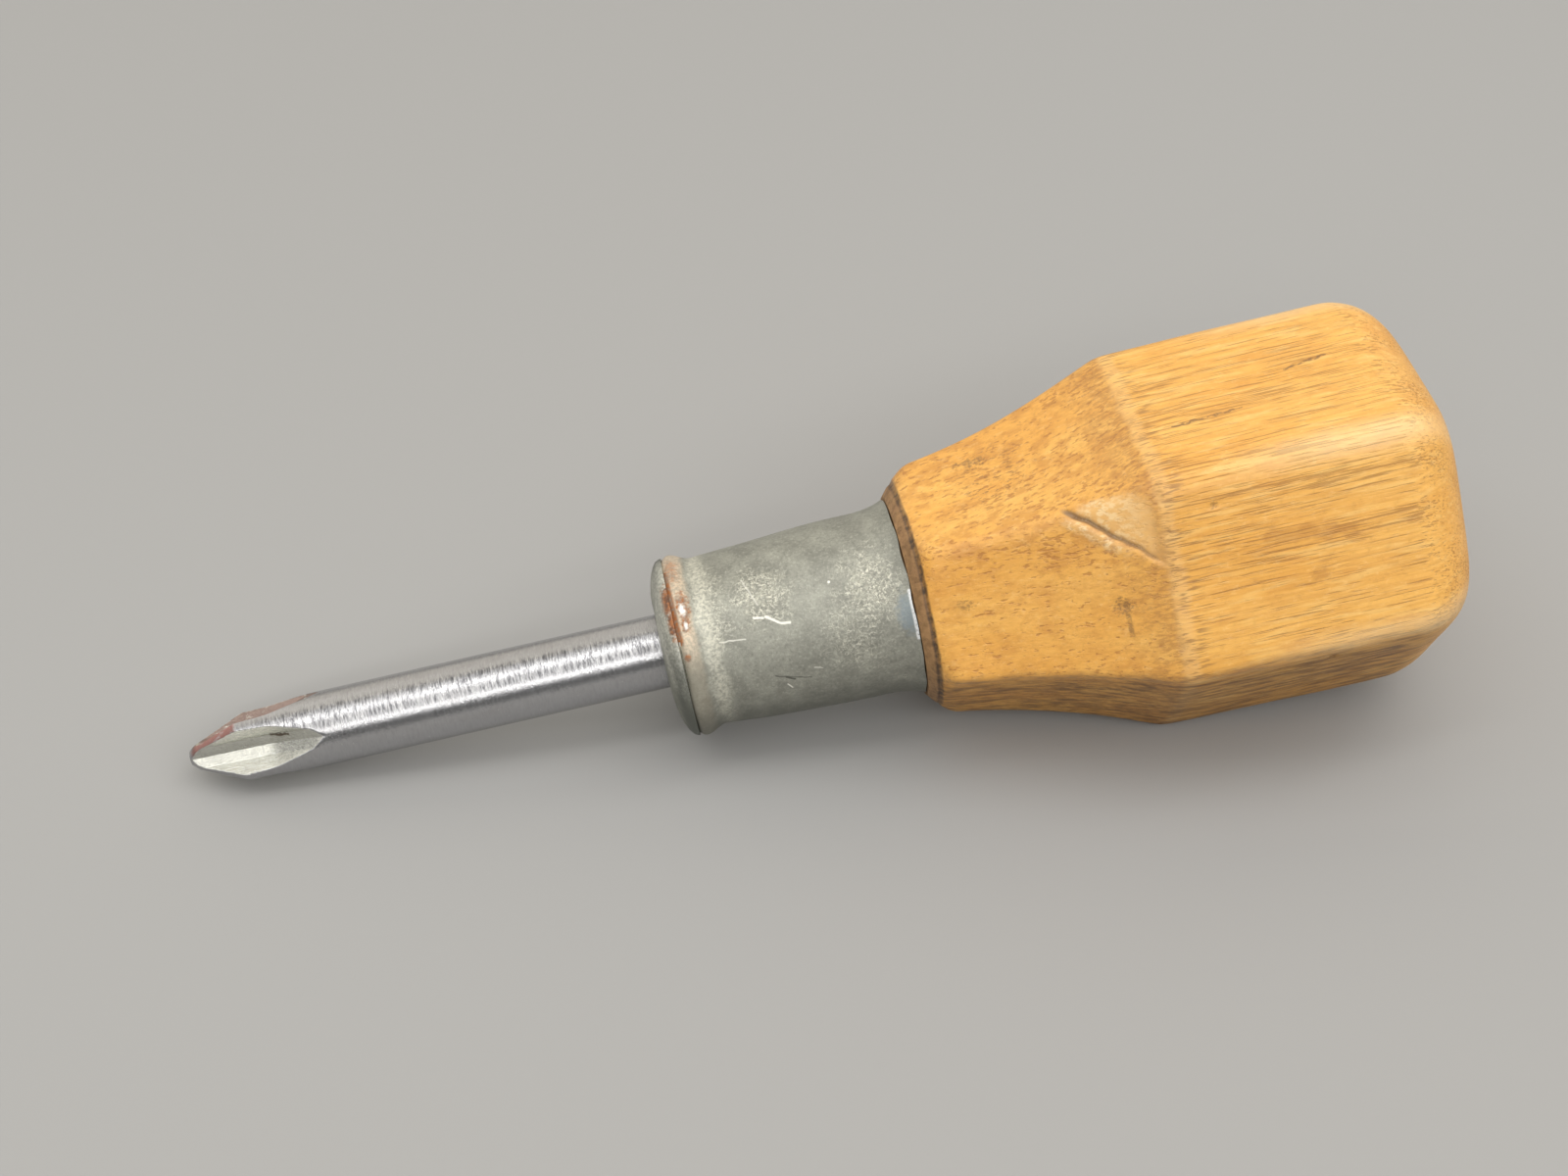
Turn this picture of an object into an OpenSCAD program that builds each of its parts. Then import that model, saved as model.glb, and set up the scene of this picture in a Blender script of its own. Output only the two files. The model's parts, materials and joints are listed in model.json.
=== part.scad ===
// Stubby cross-point screwdriver with a hexagonal wooden grip.
// It lies as it comes to rest: on the front edge of its lowest facet and on its point.

/* [Blade] */
// Diameter of the round blade
blade_d = 6; // [5.8:0.1:6.2]
// Free length of the blade in front of the ferrule cap
blade_reach = 38.6; // [34:0.1:50]
// Diameter of the tang, from the shoulder that seats on the ferrule cap
tang_d = 5.6; // [5:0.1:5.7]
// Length of the tang, from the same shoulder
tang_length = 48; // [42:1:54]
// Width across the two wings pressed out of the tang
wing_w = 9; // [7:0.5:11]
// Thickness of the tang wings
wing_t = 1.8; // [1:0.1:2.5]

/* [Cross point] */
// Diameter where the driving flanks start
nose_d = 2.29; // [2.1:0.01:2.5]
// Half angle of the driving flanks
flank_angle = 26.5; // [25:0.5:28]
// Thickness of each driving wing at the nose
vane_t = 0.35; // [0.3:0.05:0.6]
// Width of the core between two opposite flutes at the nose
core_w = 1.5; // [1.4:0.05:1.6]
// Distance from the nose to the end of the flutes
flute_run = 11.1; // [10:0.1:12]
// Turn of the cross about the blade, away from upright
point_roll = 12; // [0:1:20]

/* [Ferrule] */
// Length of the ferrule
ferrule_length = 18.5; // [16:0.5:20]
// Largest diameter of the rolled front lip
lip_d = 14.8; // [14.4:0.1:15.2]
// Diameter of the waist behind the lip
waist_d = 13.7; // [13.4:0.1:14]
// Diameter of the barrel at its rear
barrel_d = 14.9; // [14.5:0.1:15.2]
// Diameter of the flared rear edge
flare_d = 16; // [15.4:0.1:16.4]
// Wall thickness of the ferrule
wall = 0.7; // [0.5:0.1:0.9]

/* [Ferrule cap] */
// Diameter of the cap
cap_d = 14.5; // [14:0.1:14.6]
// Diameter of the flat ring around the blade
cap_face_d = 8.6; // [8:0.1:10]
// Height of the dished face above the ferrule
cap_rise = 1.45; // [1.2:0.05:1.8]
// Sheet thickness of the cap
cap_t = 0.8; // [0.6:0.1:1]

/* [Grip] */
// Width across the flats at the front end of the grip
front_af = 18; // [17.5:0.1:19]
// Width across the flats at the shoulder
shoulder_af = 27.6; // [26:0.1:28]
// Width across the flats at the rear
rear_af = 28.2; // [28:0.1:29]
// Length of the hollowed neck
neck_length = 18.8; // [17:0.1:21]
// Radius of the hollow along the neck
neck_radius = 62; // [50:1:90]
// Length from the shoulder to the rear end
body_length = 24.7; // [22:0.1:40]
// Rounding of each facet into the rear end
facet_round = 5.4; // [4:0.1:6]
// Diameter to which the six corners are turned down
corner_d = 32.2; // [31:0.1:32.6]
// Rounding of the six corners into the rear end
corner_round = 6.2; // [5:0.1:8]
// Radius of the domed rear end
dome_radius = 74; // [50:1:120]

/* [Hidden] */
$fn = 96;

blade_r = blade_d / 2;
tang_r = tang_d / 2;
nose_r = nose_d / 2;
nose_flat_r = 0.6;
nose_depth = 0.61;
flank_end = nose_depth + (blade_r - nose_r) / tan(flank_angle);

// Stations along the tool, measured from the nose
ferrule_z = blade_reach + cap_rise;
grip_z = ferrule_z + ferrule_length;
shoulder_z = grip_z + neck_length;
rear_z = shoulder_z + body_length;
tang_z = blade_reach + tang_length;

// The tool rests on the shoulder edge and on the end of the driving flanks
tilt = atan((shoulder_af / 2 - blade_r) / (shoulder_z - flank_end));

// Centre of the arc that rounds the lowest facet into the rear end
rear_arc_x = rear_af / 2 - facet_round;
rear_arc_z = arc_centre_z(rear_af / 2, facet_round);

// How far the rounded facets stand clear of the dome that trims them
dome_gap = 0.05;

// Extent along X of the resting tool, and the height of the nose above the surface
x_low = -nose_flat_r * sin(tilt);
x_high = rear_arc_z * cos(tilt) + rear_arc_x * sin(tilt) + facet_round;
nose_height = shoulder_af / 2 * cos(tilt) - shoulder_z * sin(tilt);

// Ferrule: lengths of the rolled lip and of the rear flare
lip_peak = 0.6;
lip_length = 2.3;
flare_length = 3.2;
tenon_gap = 0.9;

// Bevel around the front end of the grip
bevel_r = 8.2;
bevel_length = 1.7;
bevel_slope = 1.41;

// Bevel on the edge of the shoulder that seats on the cap
seat_bevel = 0.1;

// Wings of the tang
wing_length = 8;
wing_z = grip_z + 10;

// Opening angle of each flute and the shallow vee at its root
flute_angle = 92;
root_angle = 140;
root_slope = 4.1;
exit_slope = 22.5;

// Height of the centre of the arc that joins a side at distance half to the domed rear end
function arc_centre_z(half, round) =
    rear_z - dome_radius + sqrt(pow(dome_radius - round, 2) - pow(half - round, 2));

// Outer radius of the ferrule at a height above its front edge
function ferrule_r(z) =
    let (barrel_length = ferrule_length - lip_length - flare_length)
    z < lip_peak ? lip_d / 2 - 0.5 * pow(1 - z / lip_peak, 2) * wall
    : z < lip_length ? waist_d / 2 + (lip_d - waist_d) / 4
        * (1 + cos(180 * (z - lip_peak) / (lip_length - lip_peak)))
    : z < ferrule_length - flare_length ? waist_d / 2 + (barrel_d - waist_d) / 2
        * sin(90 * (z - lip_length) / barrel_length)
    : barrel_d / 2 + (flare_d - barrel_d) / 2
        * pow((z - ferrule_length + flare_length) / flare_length, 2);

// Heights at which the ferrule's outline is drawn, from a given height to its rear edge
function ferrule_steps(first) = concat(
    [for (z = [0 : 0.3 : lip_length]) if (z >= first) z],
    [for (i = [0 : 7]) lip_length + i * (ferrule_length - lip_length - flare_length) / 8],
    [for (i = [0 : 5]) ferrule_length - flare_length + i * flare_length / 5]);

// Lays the upright tool down in its resting place
module at_rest() {
    centre_x = (x_low + x_high) / 2;
    translate([-centre_x, 0, nose_height])
        rotate([0, 90 - tilt, 0])
            children();
}

// Outline of the turned rear end: a dome that runs into rounded corners
module domed_outline(half, round) {
    arc_z = arc_centre_z(half, round);
    touch_x = (half - round) * dome_radius / (dome_radius - round);
    translate([half - round, arc_z])
        circle(round);
    intersection() {
        translate([0, rear_z - dome_radius])
            circle(dome_radius, $fn = 720);
        translate([-touch_x, arc_z - round / 2])
            square([2 * touch_x, round * 2]);
    }
}

// Points along the hollow of the neck, on an arc from the front of the grip to the shoulder
function neck_arc(front, shoulder) =
    let (
        steps = 12,
        chord = norm([neck_length, shoulder - front]),
        chord_angle = atan((shoulder - front) / neck_length),
        sag = sqrt(pow(neck_radius, 2) - pow(chord / 2, 2)),
        centre = [
            (front + shoulder) / 2 + sag * cos(chord_angle),
            grip_z + neck_length / 2 - sag * sin(chord_angle)],
        half_sweep = asin(chord / 2 / neck_radius))
    [for (i = [0 : steps])
        let (angle = 180 - chord_angle + half_sweep * (1 - 2 * i / steps))
        centre + neck_radius * [cos(angle), sin(angle)]];

// Points along the rounding of a facet into the rear end, and on to above the dome
function facet_arc(half, round) =
    let (steps = 6, sweep = 90 - asin((half - round) / (dome_radius - round)))
    concat(
        [for (i = [0 : steps])
            [half - round + round * cos(i * sweep / steps),
                arc_centre_z(half, round) + dome_gap + round * sin(i * sweep / steps)]],
        [[0, rear_z + 12 * dome_gap]]);

// Outline between two opposite facets, from the front of the grip to above the dome
module facet_outline() {
    side = concat(
        [[0, grip_z]],
        neck_arc(front_af / 2, shoulder_af / 2),
        facet_arc(rear_af / 2, facet_round));
    last = len(side) - 2;
    polygon(concat(side, [for (i = [last : -1 : 1]) [-side[i].x, side[i].y]]));
}

// Solid between two opposite facets
module facet_slab() {
    rotate([90, 0, 0])
        linear_extrude(corner_d + 8, center = true)
            facet_outline();
}

// Turned envelope: bevelled at the front, domed at the rear
module turned_envelope() {
    corner_r = corner_d / 2;
    rotate_extrude()
        intersection() {
            union() {
                polygon([
                    [0, grip_z], [bevel_r, grip_z],
                    [bevel_r + bevel_length * bevel_slope, grip_z + bevel_length],
                    [corner_r, grip_z + neck_length / 2],
                    [corner_r, arc_centre_z(corner_r, corner_round)],
                    [0, arc_centre_z(corner_r, corner_round)]]);
                domed_outline(corner_r, corner_round);
            }
            translate([0, grip_z])
                square([corner_d, rear_z]);
        }
}

// Two wings pressed out of the tang, which key it into the wood
module tang_wings() {
    translate([-wing_w / 2, -wing_t / 2, wing_z])
        cube([wing_w, wing_t, wing_length]);
}

// Hexagonal wooden grip with its tenon, bored for the tang
module handle() {
    steps = ferrule_steps(lip_length);
    color([0.86, 0.58, 0.27])
        at_rest()
            difference() {
                union() {
                    intersection() {
                        facet_slab();
                        rotate([0, 0, 60]) facet_slab();
                        rotate([0, 0, 120]) facet_slab();
                        turned_envelope();
                    }
                    rotate_extrude()
                        polygon(concat(
                            [[0, ferrule_z + tenon_gap], [waist_d / 2 - wall, ferrule_z + tenon_gap]],
                            [for (z = steps) [ferrule_r(z) - wall, ferrule_z + z]],
                            [[0, grip_z]]));
                }
                translate([0, 0, ferrule_z])
                    cylinder(h = tang_z - ferrule_z, r = tang_r);
                tang_wings();
            }
}

// Drawn steel tube with a rolled front lip and a flared rear edge
module ferrule() {
    steps = ferrule_steps(0);
    last = len(steps) - 1;
    color([0.55, 0.56, 0.53])
        at_rest()
            rotate_extrude()
                polygon(concat(
                    [for (z = steps) [ferrule_r(z), ferrule_z + z]],
                    [for (i = [last : -1 : 0]) [ferrule_r(steps[i]) - wall, ferrule_z + steps[i]]]));
}

// Dished steel washer that closes the front of the ferrule around the tang
module ferrule_cap() {
    cap_r = cap_d / 2;
    face_r = cap_face_d / 2;
    rim = 0.4;
    color([0.62, 0.62, 0.58])
        at_rest()
            rotate_extrude()
                polygon([
                    [tang_r, blade_reach], [face_r, blade_reach],
                    [cap_r - rim, ferrule_z - 1.5 * rim], [cap_r, ferrule_z - rim],
                    [cap_r, ferrule_z], [cap_r - 2 * rim, ferrule_z],
                    [face_r - rim, blade_reach + cap_t], [tang_r, blade_reach + cap_t]]);
}

// Cutter for one flute with its root rising at the given slope through a point on the root line
module flute_cutter(root_r, root_z, slope) {
    root_half = (core_w / 2 - vane_t / sqrt(2)) / (1 - 1 / tan(root_angle / 2));
    root_depth = root_half / tan(root_angle / 2);
    side = 6;
    translate([root_r, 0, root_z])
        rotate([0, slope, 0])
            translate([0, 0, -15])
                linear_extrude(30)
                    polygon([
                        [0, 0], [root_depth, root_half],
                        [root_depth + side, root_half + side * tan(flute_angle / 2)],
                        [root_depth + side, -root_half - side * tan(flute_angle / 2)],
                        [root_depth, -root_half]]);
}

// Round bar with four flutes at the point and a winged tang
module blade() {
    color([0.80, 0.80, 0.82])
        at_rest()
            difference() {
                union() {
                    rotate_extrude()
                        polygon([
                            [0, 0], [nose_flat_r, 0], [nose_r, nose_depth],
                            [blade_r, flank_end], [blade_r, blade_reach - 2 * seat_bevel],
                            [blade_r - seat_bevel, blade_reach],
                            [tang_r, blade_reach], [tang_r, tang_z - 1],
                            [tang_r - 1, tang_z], [0, tang_z]]);
                    tang_wings();
                }
                for (turn = [45 : 90 : 315])
                    rotate([0, 0, turn + point_roll])
                        intersection() {
                            flute_cutter(core_w / 2, 0, root_slope);
                            flute_cutter(blade_r, flute_run, exit_slope);
                        }
            }
}

handle();
ferrule();
ferrule_cap();
blade();
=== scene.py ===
import json
import math

import bpy
import numpy as np
from mathutils import Matrix, Vector


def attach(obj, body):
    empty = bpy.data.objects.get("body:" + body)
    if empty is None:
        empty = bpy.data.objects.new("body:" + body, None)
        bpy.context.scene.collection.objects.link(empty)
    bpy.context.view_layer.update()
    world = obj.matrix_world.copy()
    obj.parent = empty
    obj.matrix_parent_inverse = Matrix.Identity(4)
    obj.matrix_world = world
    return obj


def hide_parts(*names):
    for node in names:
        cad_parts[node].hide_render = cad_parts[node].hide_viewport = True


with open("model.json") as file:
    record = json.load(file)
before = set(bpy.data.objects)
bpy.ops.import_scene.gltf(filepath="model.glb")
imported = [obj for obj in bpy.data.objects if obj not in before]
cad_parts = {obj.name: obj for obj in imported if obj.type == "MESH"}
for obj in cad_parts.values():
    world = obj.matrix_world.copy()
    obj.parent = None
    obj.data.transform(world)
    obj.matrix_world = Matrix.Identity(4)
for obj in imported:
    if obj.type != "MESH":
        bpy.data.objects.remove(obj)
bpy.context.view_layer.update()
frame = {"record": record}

MM = 0.001

# ================================================================ the tool's own directions
# A place on the tool is given by its distance s from the nose along the axis, its radius r and
# its angle about the axis: 0 deg faces -Y and 90 deg is the middle of the top facet. All in mm.
mounts = {m["name"]: m for m in frame["record"]["mounts"]}
NOSE = np.array(mounts["driving_point"]["pos_m"])
AXIS = -np.array(mounts["driving_point"]["axis"], dtype=float)
AXIS /= np.linalg.norm(AXIS)
SIDE = np.array([0.0, -1.0, 0.0])
RISE = np.cross(SIDE, AXIS)

# Stations along the tool, from the nose
CAP_FACE = 38.6
FERRULE_FRONT = 40.05
GRIP_FRONT = 58.55
SHOULDER = 77.35
REAR = 102.05
TANG_END = 86.6

# Blade: lengths are from the nose
BLADE_R = 3.0
TANG_R = 2.8
TANG_CHAMFER = 1.0
NOSE_FLAT_R = 0.6
NOSE_R = 1.145
NOSE_DEPTH = 0.61
FLANK_END = 4.33
POINT_ROLL = -12.0      # turn of the cross about the axis, degrees
FLUTE_RUN = 11.1
CORE_HALF = 0.75        # from the axis to the root of a flute, at the nose
ROOT_HALF = 0.79        # half the width of a flute's shallow root
ROOT_ANGLE = 70.0       # half angles of this root and of the walls beside it, degrees
WALL_ANGLE = 46.0
ROOT_SLOPE = 4.1        # rise of the root along the point and at the flute's end, degrees
EXIT_SLOPE = 22.5
ROOT_BLEND = 0.08       # rounding between these two slopes
EDGE_CRISP = 55.0       # higher is sharper, for the ground edges

# Grip
FRONT_HALF = 9.0
SHOULDER_HALF = 13.8
REAR_HALF = 14.1
NECK_RADIUS = 62.0
FACET_ROUND = 5.4
FACET_CRISP = 60.0      # higher is sharper, for the ridges between facets
CORNER_R = 16.1
CORNER_ROUND = 6.2
CORNER_CRISP = 42.0     # the same, where the turned envelope cuts the ridges
DOME_RADIUS = 74.0
BEVEL_R = 8.2
BEVEL_SLOPE = 1.41
SHOULDER_WEAR = 0.10
CREASE_AT = 59.38       # groove round the front of the neck
# Dents: station, angle in degrees, length, width and depth
DENTS = (
    (73.7, 24, 0.5, 0.4, 0.07), (89.0, -6.3, 0.35, 0.28, 0.25), (81.4, 50.4, 0.35, 0.25, 0.12),
    (85.4, -9.0, 1.4, 0.5, 0.12), (65.4, 102, 0.9, 0.35, 0.06), (77.5, 3.0, 1.0, 0.9, 0.12),
    (60.9, 57.0, 0.8, 0.9, 0.08), (92.6, 178, 1.2, 0.9, 0.14), (80.3, 236, 0.9, 1.3, 0.12),
    (68.2, 290, 1.6, 0.4, 0.10), (97.2, 118, 0.9, 0.8, 0.08))
NICKS = 70
RIDGE_R = 14.0          # radius at which distances along the shoulder edge are measured

# Ferrule: LIP_AT, WAIST_AT, FLARE_AT, FERRULE_END and TENON_START are lengths from its front
WALL = 0.7
GAP = 0.02              # left free between the grip's tenon and the ferrule
LIP_R = 7.4
LIP_AT = 0.6
WAIST_R = 6.85
WAIST_AT = 2.3
BARREL_R = 7.45
FLARE_AT = 15.3
FLARE_R = 8.0
FERRULE_END = 18.5
TENON_START = 0.9

# Cap: the dished face from its bore to its rim, and the back from rim to bore, as radius and station
CAP_FRONT = ((2.83, 38.62), (4.1, 38.62), (4.7, 38.68), (5.4, 38.82),
             (6.1, 39.03), (6.7, 39.30), (7.1, 39.60), (7.25, 39.9))
CAP_BACK = ((7.25, 40.05), (6.45, 40.05), (5.3, 39.68), (3.9, 39.40), (2.83, 39.40))

# Angles about the axis, in degrees
TOP_FACET = 90.0
TOP_RIDGE = 60.0

# Colours, linear red, green and blue
HONEY, STRAW = (0.820, 0.412, 0.084), (0.900, 0.500, 0.122)
FIBRE_BROWN, PORE_BROWN = (0.56, 0.245, 0.046), (0.255, 0.105, 0.026)
SHADE_AND_GRIME, GRIME_PALE = (0.150, 0.070, 0.024), (0.25, 0.14, 0.07)
ZINC_TUBE, ZINC_CAP = (0.305, 0.305, 0.260), (0.25, 0.255, 0.213)
RUST_DARK, RUST_LIGHT = (0.13, 0.044, 0.016), (0.40, 0.135, 0.028)
CHROME, GROUND_STEEL = (0.47, 0.47, 0.48), (0.66, 0.66, 0.60)
COPPER, COPPER_DARK = (0.34, 0.155, 0.13), (0.25, 0.15, 0.13)
FLOOR_GREY = (0.36, 0.357, 0.35, 1)
ROOM_GREY = (0.80, 0.79, 0.77, 1)
WHITE, WARM = (1.0, 0.985, 0.96), (1.0, 0.93, 0.80)

# Camera: place in mm; azimuth, downward tilt and roll in degrees; lens in mm on a 36 mm sensor
CAMERA_AT = (-26.61, -129.34, 136.08)
CAMERA_TURN = (10.443, 43.026, 0.443)
CAMERA_LENS = 51.97


# ================================================================ small helpers
def smooth(a, b, x):
    """0 below a, 1 above b, and an S curve between."""
    t = np.clip((x - a) / (b - a), 0.0, 1.0)
    return t * t * (3 - 2 * t)


def bell(x, width):
    return np.exp(-(x / width) ** 2)


def waves(seed, s, angle, count=9, along=0.5, around=5):
    """Slow waves over a surface of revolution, between about -1 and 1."""
    rng = np.random.default_rng(seed)
    total = 0.0
    for _ in range(count):
        turns = rng.integers(0, around + 1)
        pitch = rng.uniform(-along, along)
        total = total + np.sin(turns * angle + pitch * s + rng.uniform(0, 2 * math.pi))
    return total / math.sqrt(count)


def angle_from(angle, degrees):
    """Signed angle from a direction about the axis, radians, between -pi and pi."""
    return (angle - math.radians(degrees) + math.pi) % (2 * math.pi) - math.pi


def place(s, angle, r):
    """Points in the frame, in metres."""
    s, angle, r = np.broadcast_arrays(s, angle, r)
    return (NOSE + s[..., None] * MM * AXIS
            + (r * np.cos(angle))[..., None] * MM * SIDE
            + (r * np.sin(angle))[..., None] * MM * RISE)


def spaced(*runs):
    """Numbers from runs of (from, to, step), each run without its last number."""
    return np.concatenate([np.linspace(a, b, max(1, round(abs(b - a) / step)), endpoint=False)
                           for a, b, step in runs])


def ring_mesh(name, s, r, angles, capped=True, marks=None, sharp=32):
    """A closed mesh from rings: s and r hold one row per ring and one column per angle.

    Capped rings are closed by a fan at each end; other rings join up into a hoop. Edges that
    turn by more than sharp degrees show as corners."""
    s, r = np.broadcast_arrays(s, r)
    rows, cols = r.shape
    verts = place(s, angles[None, :], r).reshape(-1, 3)
    tool = np.stack([s, r * np.cos(angles), r * np.sin(angles)], -1).reshape(-1, 3)
    i = np.arange(rows - 1 if capped else rows)[:, None]
    j = np.arange(cols)[None, :]
    k, n = (j + 1) % cols, (i + 1) % rows
    faces = np.stack([i * cols + j, n * cols + j, n * cols + k, i * cols + k], -1)
    faces = faces.reshape(-1, 4).tolist()
    if capped:
        first, last, base = len(verts), len(verts) + 1, (rows - 1) * cols
        verts = np.vstack([verts, verts[:cols].mean(0), verts[base:].mean(0)])
        tool = np.vstack([tool, tool[:cols].mean(0), tool[base:].mean(0)])
        for a in range(cols):
            b = (a + 1) % cols
            faces.append((first, a, b))
            faces.append((last, base + b, base + a))
    mesh = bpy.data.meshes.new(name)
    mesh.from_pydata(verts.tolist(), [], faces)
    mesh.update()
    mesh.polygons.foreach_set("use_smooth", [True] * len(mesh.polygons))
    layer = mesh.attributes.new("tool", "FLOAT_VECTOR", "POINT")
    layer.data.foreach_set("vector", tool.astype(np.float32).reshape(-1))
    for mark, values in (marks or {}).items():
        data = np.zeros(len(verts), np.float32)
        data[:rows * cols] = np.broadcast_to(values, r.shape).reshape(-1)
        layer = mesh.attributes.new(mark, "FLOAT", "POINT")
        layer.data.foreach_set("value", data)
    mesh.set_sharp_from_angle(angle=math.radians(sharp))
    obj = bpy.data.objects.new(name, mesh)
    bpy.context.scene.collection.objects.link(obj)
    return obj


# ================================================================ grip
def arc_start(half, rounding):
    """Where a side at distance half starts to round over into the domed rear end."""
    return (REAR - DOME_RADIUS
            + math.sqrt((DOME_RADIUS - rounding) ** 2 - (half - rounding) ** 2))


def rounded_off(s, half, rounding, start):
    past = np.clip((s - start) / rounding, 0.0, 1.0)
    return half - rounding * (1 - np.sqrt(1 - past ** 2))


def facet_half(s):
    """Distance of a facet from the axis, with the shoulder a little worn."""
    chord = math.hypot(SHOULDER - GRIP_FRONT, SHOULDER_HALF - FRONT_HALF)
    slope = math.atan2(SHOULDER_HALF - FRONT_HALF, SHOULDER - GRIP_FRONT)
    sag = math.sqrt(NECK_RADIUS ** 2 - (chord / 2) ** 2)
    mid_s = (GRIP_FRONT + SHOULDER) / 2 - sag * math.sin(slope)
    mid_r = (FRONT_HALF + SHOULDER_HALF) / 2 + sag * math.cos(slope)
    start = arc_start(REAR_HALF, FACET_ROUND)
    neck = mid_r - np.sqrt(NECK_RADIUS ** 2 - (np.minimum(s, SHOULDER + 3) - mid_s) ** 2)
    body = SHOULDER_HALF + (s - SHOULDER) * (REAR_HALF - SHOULDER_HALF) / (start - SHOULDER)
    half = (neck + body) / 2 - np.sqrt(((neck - body) / 2) ** 2 + SHOULDER_WEAR ** 2)
    return rounded_off(s, np.minimum(half, REAR_HALF), FACET_ROUND, start)


def grip_surface(s, angle):
    """(radius of the six facets, radius of the turned envelope) for columns of s, rows of angle."""
    half = facet_half(s)
    envelope = np.minimum(BEVEL_R + BEVEL_SLOPE * (s - GRIP_FRONT), CORNER_R)
    envelope = rounded_off(s, envelope, CORNER_ROUND, arc_start(CORNER_R, CORNER_ROUND))
    crisp = FACET_CRISP - 32.0 * bell(angle_from(angle, TOP_RIDGE), 0.35)
    total = 0.0
    for k in range(6):
        facing = np.maximum(np.cos(angle_from(angle, 30 + 60 * k)), 0.0)
        total = total + (facing / np.maximum(half, 0.05)) ** crisp
    return total ** (-1 / crisp), envelope


def gouge(s, angle):
    """The long dent across the neck beside the top ridge: its height, and marks for the cut, the
    crushed patch above it and the raised lip below it."""
    ridge_r = 12.6
    around = ridge_r * angle_from(angle, TOP_RIDGE)
    start, end = np.array([70.4, 0.45]), np.array([77.5, -5.5])
    length = np.linalg.norm(end - start)
    ds, dq = (end - start) / length
    along = (s - start[0]) * ds + (around - start[1]) * dq
    off = -(s - start[0]) * dq + (around - start[1]) * ds
    off = off + 0.05 * np.sin(along * 1.7) + 0.025 * np.sin(along * 4.3 + 1)
    reach = smooth(-0.4, 1.2, along) * (1 - smooth(length - 1.4, length + 0.1, along))
    fade = 1 - 0.55 * along / length
    cut = bell(off - 0.04, 0.24) * reach
    top = np.clip(along * 0.75, 0.3, 3.4)
    patch = smooth(-0.15, 0.12, off) * (1 - smooth(top * 0.75, top, off)) * smooth(0.8, 2.2, along)
    patch = patch * (1 - smooth(SHOULDER - 0.9, SHOULDER + 0.1, s))
    slope = np.clip(1 - off / np.maximum(top, 0.1), 0, 1)
    lip = bell(off + 0.60, 0.40) * smooth(0.2, 1.6, along) * (1 - smooth(4.2, 7.0, along))
    height = -0.22 * cut * fade - 0.30 * patch * slope + 0.14 * lip
    return height, cut * fade, patch, lip


def dent(s, angle, at_s, at_angle, long, wide, r):
    """A round-bottomed hollow, from 0 at its rim to 1 at its middle."""
    across = r * np.sin(angle_from(angle, at_angle))
    near = np.cos(angle_from(angle, at_angle)) > 0
    return np.exp(-((s - at_s) / long) ** 2 - (across / wide) ** 2) * near


def make_grip():
    # Rings and columns are closer together around the groove, the long dent and the shoulder
    angles = np.radians(spaced((-45, 20, 0.75), (20, 75, 0.55), (75, 135, 0.75), (135, 315, 1.2)))
    angle = angles[None, :]
    dome_from = 95.8
    body = np.concatenate([
        spaced((GRIP_FRONT + 0.1, 61.2, 0.11), (61.2, 69.8, 0.25), (69.8, 78.6, 0.13),
               (78.6, dome_from, 0.3)),
        dome_from + (REAR - dome_from) * np.sin(np.linspace(0, math.pi / 2, 56))[:-1]])
    s = body[:, None]
    facets, envelope = grip_surface(s, angle)
    crisp = CORNER_CRISP - 20.0 * (1 - smooth(GRIP_FRONT + 1.5, GRIP_FRONT + 4.0, s))
    r = (facets ** -crisp + envelope ** -crisp) ** (-1 / crisp)
    dome = np.sqrt(np.maximum(DOME_RADIUS ** 2 - (s - REAR + DOME_RADIUS) ** 2, 0.0))

    height, cut, patch, lip = gouge(s, angle)
    uneven = 0.045 * waves(3, s, angle, 12, 0.55, 9)
    height = height + uneven * smooth(GRIP_FRONT + 1, GRIP_FRONT + 4, s)
    for at_s, at_angle, long, wide, deep in DENTS:
        height = height - deep * dent(s, angle, at_s, at_angle, long, wide, r)
    ring = CREASE_AT + 0.08 * waves(5, s * 0, angle, 6, 0.0, 6)
    height = height - 0.13 * bell(s - ring, 0.12)
    # Nicks along the shoulder edge
    rng = np.random.default_rng(11)
    nick = 0.0
    for _ in range(NICKS):
        at_angle, size = rng.uniform(0, 360), rng.uniform(0.15, 0.45)
        at_s = SHOULDER + rng.uniform(-0.2, 0.5)
        nick = nick + dent(s, angle, at_s, at_angle, size, size, RIDGE_R) * size
    height = height - 0.16 * np.clip(nick, 0, 1)
    r = np.minimum(r + height * smooth(0, 3, REAR - s), dome)

    # The bore for the tang, then the tenon inside the ferrule
    tenon_from = FERRULE_FRONT + TENON_START
    tenon_s = np.linspace(FERRULE_FRONT + WAIST_AT, GRIP_FRONT, 12)
    tenon_r = [ferrule_r(at) - WALL - GAP for at in tenon_s]
    inner_s = np.array([TANG_END, TANG_END, tenon_from, tenon_from, *tenon_s, GRIP_FRONT])
    inner_r = np.array([0.02, TANG_R, TANG_R, WAIST_R - WALL - GAP, *tenon_r, BEVEL_R])
    hidden = np.ones((len(inner_s), len(angles)))

    def whole(values, inside=0.0):
        """A mark over the whole mesh, from its values on the part that shows."""
        return np.vstack([inside * hidden, values * np.ones_like(r)])

    return ring_mesh(
        "grip_wood", np.concatenate([inner_s, body])[:, None], np.vstack([inner_r[:, None] * hidden, r]),
        angles, marks={"cut": whole(cut), "patch": whole(patch), "lip": whole(lip),
                       "crease": whole(s - ring, -0.8), "nick": whole(np.clip(nick, 0, 1))})


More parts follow.
